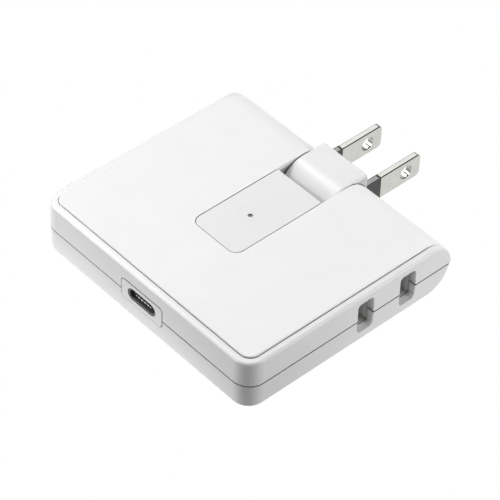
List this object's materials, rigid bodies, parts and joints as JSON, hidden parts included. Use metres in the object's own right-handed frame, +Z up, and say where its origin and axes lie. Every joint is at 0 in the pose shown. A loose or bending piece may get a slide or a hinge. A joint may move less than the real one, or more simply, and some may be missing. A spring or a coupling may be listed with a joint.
{
  "type": "laptop power adapter",
  "caption": "Flat white wall-plug power adapter with a swing-out bladed plug at the back edge, a USB-C port in front and a pass-through outlet in one side.",
  "frame": {"origin": "centre of the housing's flat underside", "axes": "+Z up through the top panel, -Y out of the USB-C side, +Y along the plug's blades as they stand at rest, +X out of the outlet side"},
  "size_m": [0.0688, 0.0778, 0.0142],
  "materials": {
    "shell_plastic": "white polycarbonate, soft gloss",
    "panel_plastic": "white, fine matte spark texture",
    "plate_plastic": "white, smooth satin",
    "plug_plastic": "white, satin",
    "blade_metal": "nickel plated, fine grain",
    "sleeve_plastic": "dark grey, moulded",
    "pipe_plastic": "clear grey acrylic",
    "led_plastic": "yellowish encapsulant",
    "port_metal": "drawn steel",
    "tongue_plastic": "black moulding",
    "contact_gold": "gold flash",
    "carrier_plastic": "dark grey moulding",
    "conductor_brass": "stamped and formed",
    "spring_steel": "spring temper",
    "board_laminate": "green solder mask",
    "ferrite": "dark sintered",
    "winding_copper": "enamelled copper",
    "pad_rubber": "soft grey pad",
    "spreader_aluminium": "rolled",
    "insulating_film": "film",
    "fuse_glass": "clear tube with metal caps",
    "film_case": "moulded box",
    "disc_case": "dipped coating",
    "chip_black": "moulded epoxy",
    "can_aluminium": "sleeved can"
  },
  "bodies": {
    "housing": {"lower_shell": "shell_plastic", "upper_shell": "shell_plastic", "top_panel": "panel_plastic", "indicator_plate": "plate_plastic", "light_pipe": "pipe_plastic", "indicator_led": "led_plastic", "port_bezel": "shell_plastic", "port_shell": "port_metal", "port_tongue": "tongue_plastic", "port_contacts": "contact_gold", "circuit_board": "board_laminate", "transformer_core": "ferrite", "transformer_winding": "winding_copper", "thermal_pad": "pad_rubber", "heat_spreader": "spreader_aluminium", "insulating_sheet": "insulating_film", "line_choke": "winding_copper", "fuse": "fuse_glass", "x_capacitor": "film_case", "y_capacitor": "disc_case", "bridge_rectifier": "chip_black", "power_switch": "chip_black", "port_controller": "chip_black", "rectifier_switch": "chip_black", "output_inductor": "ferrite", "bulk_capacitor_1": "can_aluminium", "bulk_capacitor_2": "can_aluminium", "output_capacitor_1": "can_aluminium", "output_capacitor_2": "can_aluminium", "outlet_carrier": "carrier_plastic", "outlet_contact_line": "conductor_brass", "outlet_contact_neutral": "conductor_brass", "line_strap": "conductor_brass", "neutral_strap": "conductor_brass", "detent_spring": "spring_steel"},
    "plug": {"plug_block": "plug_plastic", "blade_left": "blade_metal", "blade_right": "blade_metal", "sleeve_left": "sleeve_plastic", "sleeve_right": "sleeve_plastic", "blade_strap_left": "conductor_brass", "blade_strap_right": "conductor_brass", "pivot_cap_left": "conductor_brass", "pivot_cap_right": "conductor_brass"}
  },
  "joints": [
    {"name": "plug_swing", "type": "hinge", "parent": "housing", "child": "plug", "pos_m": [0, 0.02337, 0.00707], "axis": [1, 0, 0], "range_deg": [-90, 90]}
  ]
}
